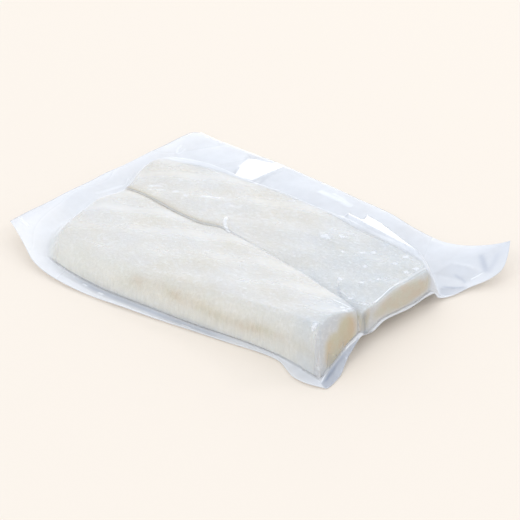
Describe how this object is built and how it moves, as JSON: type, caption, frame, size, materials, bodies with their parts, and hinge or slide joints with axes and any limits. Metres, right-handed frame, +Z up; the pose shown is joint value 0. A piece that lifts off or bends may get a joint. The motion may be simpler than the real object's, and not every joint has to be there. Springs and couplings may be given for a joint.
{
  "type": "vacuum-packed salted dried cod",
  "caption": "Thick salted dried cod loins side by side in a clear vacuum pouch, lying flat, with sealed film margins and one curled corner.",
  "frame": {"origin": "middle of the pouch's plan, on the surface it lies on", "axes": "+X along the loins towards their cut ends, +Y from the near loin to the far loin, +Z up"},
  "size_m": [0.348, 0.261, 0.0393],
  "materials": {
    "packed_cod": "clear glossy film drawn tight over pale cream fish, milky where its two layers meet in the margins",
    "pouch_film": "clear glossy polyamide and polyethylene film",
    "salt_cod_flesh": "damp, salt-cured, slightly translucent flesh",
    "salt_grains": "white coarse salt"
  },
  "bodies": {
    "root": {"vacuum_pouch": "packed_cod"}
  },
  "joints": []
}
